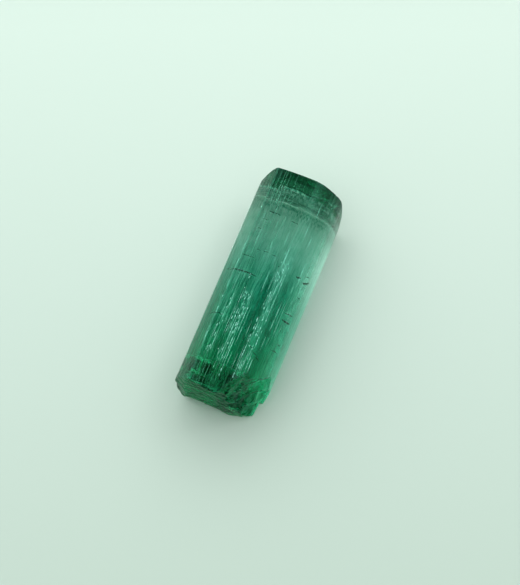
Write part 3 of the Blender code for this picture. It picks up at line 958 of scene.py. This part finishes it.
def shade_film_mesh():
    """Dark sheets of painted shade lying flat, above the flake: closed lenses with uneven rims."""
    rng = random.Random(FRACTURE_SEED)
    mesh = bmesh.new()
    for (centre_x, centre_y, centre_z), half_x, half_y, count in SHADE_FILMS:
        for number in range(count):
            x = centre_x + half_x * (2 * (number + 0.5) / count - 1)
            half_width = half_x / count * rng.uniform(*FILM_WIDTHS)
            reach = half_y * rng.uniform(*FILM_REACHES)
            y = centre_y + half_y * rng.uniform(-FILM_STRAY_ALONG, FILM_STRAY_ALONG)
            z = centre_z + rng.uniform(-FILM_STRAY_UP, FILM_STRAY_UP)
            ring = []
            for turn in range(FILM_RIM_POINTS):
                angle = math.tau * turn / FILM_RIM_POINTS
                square = max(abs(math.cos(angle)), abs(math.sin(angle))) ** FILM_SQUARENESS
                rim_x = x + half_width * rng.uniform(*FILM_RIM_WIDTHS) * math.cos(angle) / square
                rim_y = y + reach * rng.uniform(*FILM_RIM_REACHES) * math.sin(angle) / square
                ring.append(mesh.verts.new((rim_x * MM, rim_y * MM, z * MM)))
            above = mesh.verts.new((x * MM, y * MM, (z + FILM_HALF_THICKNESS) * MM))
            below = mesh.verts.new((x * MM, y * MM, (z - FILM_HALF_THICKNESS) * MM))
            for turn, point in enumerate(ring):
                following = ring[(turn + 1) % len(ring)]
                mesh.faces.new((point, following, above))
                mesh.faces.new((following, point, below))
    return mesh


def make_inclusion(name, built, colours):
    """One piece of small closed bodies in the crystal, mottled between two colours."""
    bmesh.ops.recalc_face_normals(built, faces=built.faces)
    mesh = bpy.data.meshes.new(name)
    built.to_mesh(mesh)
    built.free()
    material = bpy.data.materials.new(name)
    material.use_nodes = True
    tree = material.node_tree
    shader = tree.nodes["Principled BSDF"]
    mottle = streaks(tree, INCLUSION_MOTTLE_SIZE, 2.0)
    shade = colour_ramp(tree, mottle, list(zip(INCLUSION_MOTTLE_STEPS, colours)))
    roughness = combined(tree, "ADD", mottle, INCLUSION_ROUGHNESS)
    tree.links.new(shade, shader.inputs["Base Color"])
    tree.links.new(roughness, shader.inputs["Roughness"])
    shader.inputs["Specular IOR Level"].default_value = 0.0
    mesh.materials.append(material)
    obj = bpy.data.objects.new(name, mesh)
    bpy.context.scene.collection.objects.link(obj)
    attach(obj, "root")


def make_floor():
    """A plain sheet, paler towards the light."""
    bpy.ops.mesh.primitive_plane_add(size=FLOOR_SIZE, location=(0.0, 0.0, -FLOOR_GAP))
    floor = bpy.context.object
    floor.name = "floor"
    material = bpy.data.materials.new("sheet")
    material.use_nodes = True
    tree = material.node_tree
    shader = tree.nodes["Principled BSDF"]
    place = tree.nodes.new("ShaderNodeTexCoord").outputs["Object"]
    towards_light = vector_math(tree, "DOT_PRODUCT", place, FLOOR_LIGHT_SIDE)
    shade = colour_ramp(tree, map_range(tree, towards_light, *FLOOR_SPAN), FLOOR_SHADES)
    tree.links.new(shade, shader.inputs["Base Color"])
    shader.inputs["Roughness"].default_value = FLOOR_ROUGHNESS
    shader.inputs["Specular IOR Level"].default_value = FLOOR_SPECULAR
    floor.data.materials.append(material)


def lobe(tree, direction, stops):
    """A level over the sky by the angle from a direction. Stops are (degrees away, level)."""
    place = tree.nodes.new("ShaderNodeTexCoord").outputs["Generated"]
    facing = vector_math(tree, "DOT_PRODUCT", place, Vector(direction).normalized())
    half_turns = combined(tree, "DIVIDE", combined(tree, "ARCCOSINE", facing), math.pi)
    levels = [(degrees / 180, (level, level, level)) for degrees, level in stops]
    return colour_ramp(tree, half_turns, levels, "EASE")


def make_light():
    """A pale studio, brightest to the upper left of the picture, with two small lamps. Straight
    across from the camera it is dark, as where somebody stands over the crystal, so the top face
    shows little gloss."""
    world = bpy.data.worlds.new("studio")
    bpy.context.scene.world = world
    world.use_nodes = True
    tree = world.node_tree
    dark = lobe(tree, DARK_DIRECTION, DARK_STOPS)
    bright = lobe(tree, BRIGHT_DIRECTION, BRIGHT_STOPS)
    sky = vector_math(tree, "MULTIPLY", dark, bright)
    for direction in LAMP_DIRECTIONS:
        sky = vector_math(tree, "ADD", sky, lobe(tree, direction, LAMP_STOPS))
    tinted = vector_math(tree, "MULTIPLY", sky, LIGHT_COLOUR)
    tree.links.new(tinted, tree.nodes["Background"].inputs["Color"])


def make_camera():
    camera_data = bpy.data.cameras.new("camera")
    camera_data.lens = CAMERA_LENS
    camera_data.clip_start = CAMERA_CLIP_START
    camera = bpy.data.objects.new("camera", camera_data)
    bpy.context.scene.collection.objects.link(camera)
    toward = Vector((
        math.sin(CAMERA_AZIMUTH) * math.cos(CAMERA_ELEVATION),
        -math.cos(CAMERA_AZIMUTH) * math.cos(CAMERA_ELEVATION),
        math.sin(CAMERA_ELEVATION),
    ))
    target = Vector(CAMERA_TARGET)
    place = target + toward * CAMERA_DISTANCE
    camera.location = place
    camera.rotation_euler = (target - place).to_track_quat("-Z", "Y").to_euler()
    bpy.context.scene.camera = camera


def main():
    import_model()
    scene = bpy.context.scene
    scene.view_settings.view_transform = "Standard"
    scene.cycles.max_bounces = MAX_BOUNCES
    scene.cycles.transmission_bounces = TRANSMISSION_BOUNCES
    make_crystal()
    # Pale slivers whose colour is painted glints
    make_inclusion("glint_threads", glint_thread_mesh(), GLINT_THREAD_COLOURS)
    make_inclusion("fractures", fracture_mesh(), FRACTURE_COLOURS)
    # Dark sheets of painted shade above the flake
    make_inclusion("shade_films", shade_film_mesh(), FILM_SHADE_COLOURS)
    make_floor()
    make_light()
    make_camera()


main()
